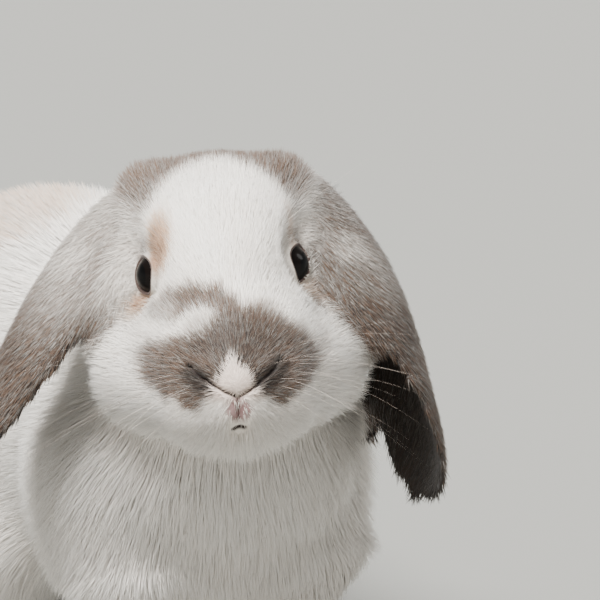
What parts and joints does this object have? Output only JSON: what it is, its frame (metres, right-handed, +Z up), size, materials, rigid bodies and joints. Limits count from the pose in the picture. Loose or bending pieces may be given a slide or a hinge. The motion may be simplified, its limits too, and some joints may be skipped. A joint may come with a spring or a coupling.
{
  "type": "rabbit",
  "caption": "Life-size still model of a small lop-eared rabbit, white with grey-brown ears, nose and crown, sitting with its head turned.",
  "frame": {"origin": "on the floor, in the middle of the model's outer box", "axes": "+Z up; the rabbit faces -Y with its tail towards +Y, and +X is the animal's left"},
  "size_m": [0.1688, 0.3178, 0.1975],
  "materials": {
    "fur": "soft white coat, with grey-brown on nose and crown and tan round the eyes",
    "ear_fur": "short grey-brown fur, darker inside and at the tip",
    "eye": "glossy, near-black brown",
    "claw": "smooth horn"
  },
  "bodies": {
    "root": {"head": "fur", "neck": "fur", "chest": "fur", "trunk": "fur", "rump": "fur", "tail": "fur", "foreleg_left": "fur", "foreleg_right": "fur", "thigh_left": "fur", "thigh_right": "fur", "forepaw_left": "fur", "forepaw_right": "fur", "hind_foot_left": "fur", "hind_foot_right": "fur", "ear_left": "ear_fur", "ear_right": "ear_fur", "eye_left": "eye", "eye_right": "eye", "claw_forepaw_left_1": "claw", "claw_forepaw_left_2": "claw", "claw_forepaw_left_3": "claw", "claw_forepaw_left_4": "claw", "claw_forepaw_right_1": "claw", "claw_forepaw_right_2": "claw", "claw_forepaw_right_3": "claw", "claw_forepaw_right_4": "claw", "claw_hind_foot_left_1": "claw", "claw_hind_foot_left_2": "claw", "claw_hind_foot_left_3": "claw", "claw_hind_foot_left_4": "claw", "claw_hind_foot_right_1": "claw", "claw_hind_foot_right_2": "claw", "claw_hind_foot_right_3": "claw", "claw_hind_foot_right_4": "claw"}
  },
  "joints": []
}
